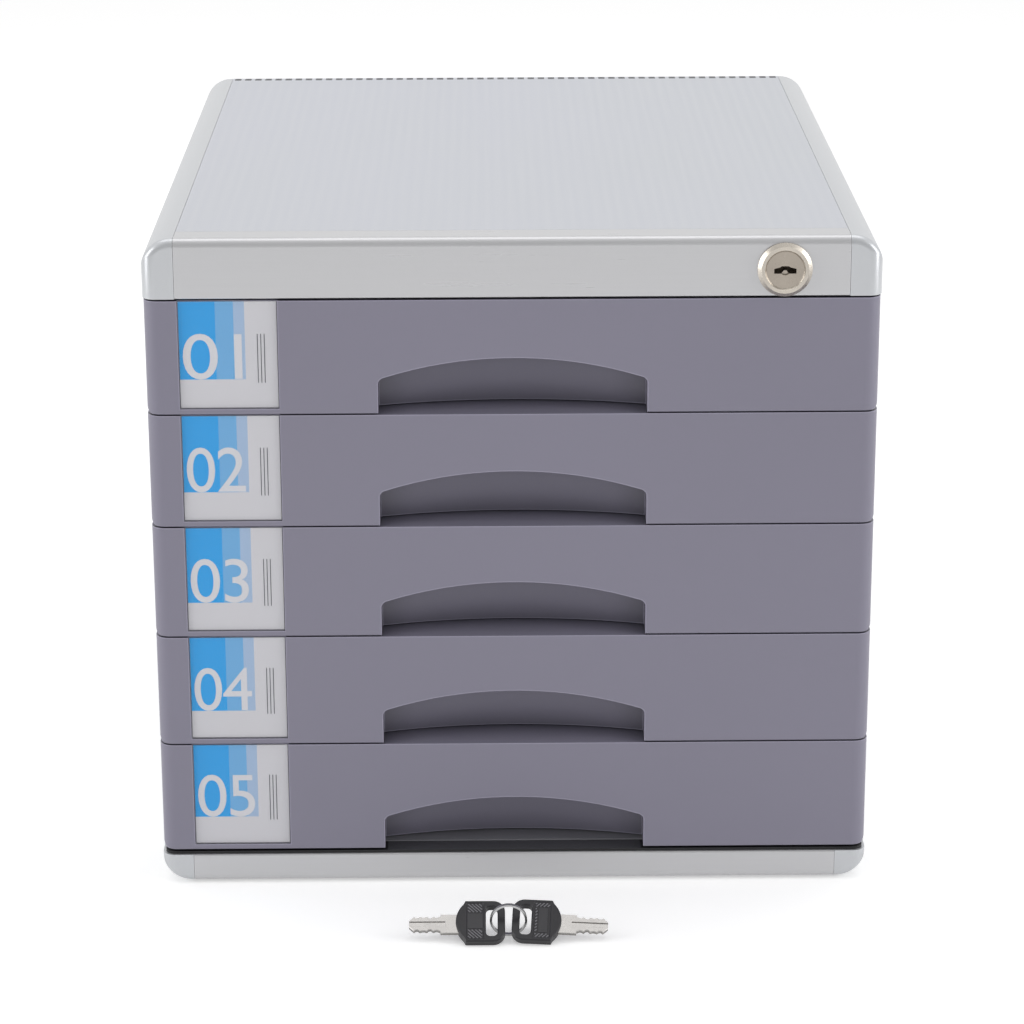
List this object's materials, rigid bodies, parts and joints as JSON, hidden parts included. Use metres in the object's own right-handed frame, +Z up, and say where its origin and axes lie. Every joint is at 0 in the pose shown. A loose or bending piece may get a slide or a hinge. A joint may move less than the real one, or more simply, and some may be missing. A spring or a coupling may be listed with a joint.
{
  "type": "desktop file drawer cabinet",
  "caption": "Free-standing desktop cabinet with stacked full-width file drawers, one lock that bars them all, label windows, finger pulls and a pair of keys on a ring.",
  "frame": {"origin": "on the table under the middle of the cabinet's base; the base sheet is 1 mm higher, on its pads", "axes": "+X to the right seen from the front, -Y towards the front where the drawers open, +Z up"},
  "size_m": [0.3, 0.4151, 0.282],
  "materials": {
    "side_frame": "satin silver paint on a moulded side",
    "front_rail": "satin",
    "top_sheet": "satin silver with fine lines front to back",
    "inner_panel": "dark grey moulding",
    "back_sheet": "plain grey sheet",
    "foot_rubber": "matte",
    "lock_shell": "nickel plated",
    "lock_steel": "zinc plated",
    "ring_wire": "bright wire",
    "key_plastic": "black moulding",
    "key_metal": "nickel plated",
    "tray_plastic": "grey moulding",
    "front_plastic": "grey violet moulding, fine grain",
    "window_plastic": "clear",
    "label_card": "printed paper card, modelled as a thin plastic sheet"
  },
  "bodies": {
    "cabinet": {"right_side_frame": "side_frame", "left_side_frame": "side_frame", "top_front_rail": "front_rail", "bottom_front_rail": "front_rail", "top_panel": "top_sheet", "base_panel": "inner_panel", "back_panel": "back_sheet", "feet": "foot_rubber", "right_runner_frame": "inner_panel", "left_runner_frame": "inner_panel", "lock_housing": "lock_shell", "lock_nut": "lock_steel", "lock_bar_guides": "lock_steel"},
    "drawer_1": {"drawer_1_tray": "tray_plastic", "drawer_1_front": "front_plastic", "drawer_1_label_window": "window_plastic", "drawer_1_label_card": "label_card"},
    "drawer_2": {"drawer_2_tray": "tray_plastic", "drawer_2_front": "front_plastic", "drawer_2_label_window": "window_plastic", "drawer_2_label_card": "label_card"},
    "drawer_3": {"drawer_3_tray": "tray_plastic", "drawer_3_front": "front_plastic", "drawer_3_label_window": "window_plastic", "drawer_3_label_card": "label_card"},
    "drawer_4": {"drawer_4_tray": "tray_plastic", "drawer_4_front": "front_plastic", "drawer_4_label_window": "window_plastic", "drawer_4_label_card": "label_card"},
    "drawer_5": {"drawer_5_tray": "tray_plastic", "drawer_5_front": "front_plastic", "drawer_5_label_window": "window_plastic", "drawer_5_label_card": "label_card"},
    "lock": {"lock_plug": "lock_shell", "lock_cam": "lock_steel"},
    "bar": {"lock_bar": "lock_steel"},
    "ring": {"key_ring": "ring_wire"},
    "key_1": {"key_1_head": "key_plastic", "key_1_blade": "key_metal"},
    "key_2": {"key_2_head": "key_plastic", "key_2_blade": "key_metal"}
  },
  "joints": [
    {"name": "drawer_1_slide", "type": "slide", "parent": "cabinet", "child": "drawer_1", "axis": [0, -1, 0], "range_m": [0, 0.24]},
    {"name": "drawer_2_slide", "type": "slide", "parent": "cabinet", "child": "drawer_2", "axis": [0, -1, 0], "range_m": [0, 0.24]},
    {"name": "drawer_3_slide", "type": "slide", "parent": "cabinet", "child": "drawer_3", "axis": [0, -1, 0], "range_m": [0, 0.24]},
    {"name": "drawer_4_slide", "type": "slide", "parent": "cabinet", "child": "drawer_4", "axis": [0, -1, 0], "range_m": [0, 0.24]},
    {"name": "drawer_5_slide", "type": "slide", "parent": "cabinet", "child": "drawer_5", "axis": [0, -1, 0], "range_m": [0, 0.24]},
    {"name": "lock_turn", "type": "hinge", "parent": "cabinet", "child": "lock", "pos_m": [0.11, -0.175, 0.2684], "axis": [0, 1, 0], "range_deg": [0, 90]},
    {"name": "bar_slide", "type": "slide", "parent": "cabinet", "child": "bar", "axis": [0, 0, -1], "range_m": [0, 0.0113]},
    {"name": "keys_on_table", "type": "slide", "parent": "cabinet", "child": "ring", "axis": [0, -1, 0], "range_m": [0, 0.06]},
    {"name": "key_1_swing", "type": "hinge", "parent": "ring", "child": "key_1", "pos_m": [-0.011, -0.23028, 0.00776], "axis": [0, 0, 1], "range_deg": [-8, 8]},
    {"name": "key_2_swing", "type": "hinge", "parent": "ring", "child": "key_2", "pos_m": [0.005, -0.23028, 0.00776], "axis": [0, 0, 1], "range_deg": [-8, 8]}
  ],
  "couplings": [
    {"joint": "lock_turn", "follows": "bar_slide", "rad_per_m": 139}
  ]
}
